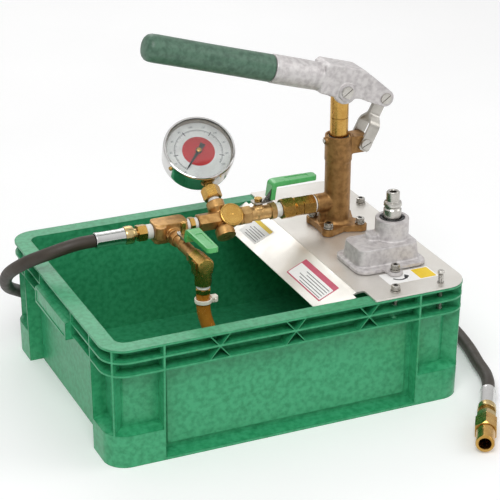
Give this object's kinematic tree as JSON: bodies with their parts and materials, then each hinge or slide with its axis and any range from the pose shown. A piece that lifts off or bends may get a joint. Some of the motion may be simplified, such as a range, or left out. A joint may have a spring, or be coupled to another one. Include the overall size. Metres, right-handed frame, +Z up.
{
  "type": "hydrostatic test pump",
  "caption": "Hand-lever water pump on an open tank, with a pressure gauge, ball valves and a hose, for pressure testing pipework.",
  "frame": {"origin": "middle of the tank's underside", "axes": "+X along the tank's long side towards the pump, +Y to the back, +Z up"},
  "size_m": [0.546, 0.5092, 0.4168],
  "materials": {
    "tank_plastic": "moulded green polypropylene, semi-gloss",
    "stainless_sheet": "brushed stainless sheet",
    "bronze": "cast bronze, blasted",
    "brass": "machined brass",
    "steel": "bright steel",
    "cast_aluminium": "sand-cast aluminium",
    "chrome": "polished chrome plate",
    "hose_rubber": "smooth black rubber",
    "grip_rubber": "dark green rubber",
    "vinyl": "dipped green vinyl",
    "nylon": "natural nylon",
    "amber_tube": "translucent amber tube",
    "dial_face": "white dial",
    "black_enamel": "black enamel",
    "clear_lens": "clear lens"
  },
  "bodies": {
    "base": {"tank": "tank_plastic", "cover_plate": "stainless_sheet", "suction_strainer": "stainless_sheet", "pump_body": "bronze", "gland_ring": "bronze", "foot_valve_body": "bronze", "main_valve_body": "bronze", "drain_valve_body": "bronze", "check_valve_body": "bronze", "manifold": "bronze", "outlet_adapter": "brass", "valve_nipple": "brass", "check_cap": "brass", "tee_nipple": "brass", "drain_elbow": "brass", "hose_barb": "brass", "gauge_stem": "brass", "hose_adapter": "brass", "end_adapter": "brass", "pump_bolt_1": "steel", "pump_bolt_2": "steel", "pump_bolt_3": "steel", "pump_bolt_4": "steel", "plate_screw_front": "steel", "plate_screw_back": "steel", "plate_stud": "steel", "case_screw": "steel", "bearing": "steel", "gear_case": "cast_aluminium", "gear_cover": "cast_aluminium", "gauge_case": "chrome", "gauge_bezel": "chrome", "hose_fitting": "chrome", "end_fitting": "chrome", "pressure_hose": "hose_rubber", "cable_tie": "nylon", "drain_tube": "amber_tube", "gauge_dial": "dial_face", "gauge_lens": "clear_lens"},
    "plunger": {"plunger_rod": "brass"},
    "handle": {"handle_casting": "cast_aluminium", "handle_grip": "grip_rubber", "fork_pin": "steel", "link_pin": "steel"},
    "link": {"link_front": "steel", "link_back": "steel", "lug_pin": "steel"},
    "main_valve": {"main_valve_stem": "brass", "main_valve_lever": "steel", "main_lever_sleeve": "vinyl"},
    "drain_valve": {"drain_valve_stem": "brass", "drain_valve_lever": "steel", "drain_lever_sleeve": "vinyl"},
    "pointer": {"gauge_pointer": "black_enamel"},
    "drive": {"drive_shaft": "steel", "drive_gear": "steel"},
    "idler": {"idler_gear": "steel"},
    "poppet": {"check_poppet": "brass"},
    "ball": {"foot_valve_ball": "steel"}
  },
  "joints": [
    {"name": "plunger_slide", "type": "slide", "parent": "base", "child": "plunger", "axis": [0, 0, 1], "range_m": [-0.0372, 0.0054]},
    {"name": "handle_swing", "type": "hinge", "parent": "plunger", "child": "handle", "pos_m": [0.1505, 0.034, 0.3223], "axis": [0, -1, 0], "range_deg": [-5, 36]},
    {"name": "link_swing", "type": "hinge", "parent": "handle", "child": "link", "pos_m": [0.207, 0.034, 0.3041], "axis": [0, -1, 0], "range_deg": [-36.2, 5.2]},
    {"name": "main_valve_turn", "type": "hinge", "parent": "base", "child": "main_valve", "pos_m": [0.0461, 0.034, 0.18], "axis": [0, 0, -1], "range_deg": [0, 90]},
    {"name": "drain_valve_turn", "type": "hinge", "parent": "base", "child": "drain_valve", "pos_m": [-0.066, -0.009, 0.175], "axis": [0, 0, -1], "range_deg": [0, 90]},
    {"name": "gauge_pointer_turn", "type": "hinge", "parent": "base", "child": "pointer", "pos_m": [-0.002, 0.10355, 0.23632], "axis": [0.1097, 0.6255, -0.7725], "range_deg": [0, 270], "stiffness_Nm_per_rad": 0.002},
    {"name": "drive_spin", "type": "hinge", "parent": "base", "child": "drive", "pos_m": [0.1695, -0.07, 0.152], "axis": [0, 0, 1], "continuous": true},
    {"name": "idler_spin", "type": "hinge", "parent": "base", "child": "idler", "pos_m": [0.148, -0.066, 0.152], "axis": [0, 0, 1], "continuous": true},
    {"name": "check_poppet_lift", "type": "slide", "parent": "base", "child": "poppet", "axis": [0, -0.7193, 0.6947], "range_m": [0, 0.003]},
    {"name": "foot_ball_lift", "type": "slide", "parent": "base", "child": "ball", "axis": [0, 0, 1], "range_m": [0, 0.004]}
  ],
  "couplings": [
    {"joint": "plunger_slide", "follows": "handle_swing", "m_per_rad": -0.0584},
    {"joint": "link_swing", "follows": "handle_swing", "ratio": -1},
    {"joint": "idler_spin", "follows": "drive_spin", "ratio": -1}
  ]
}
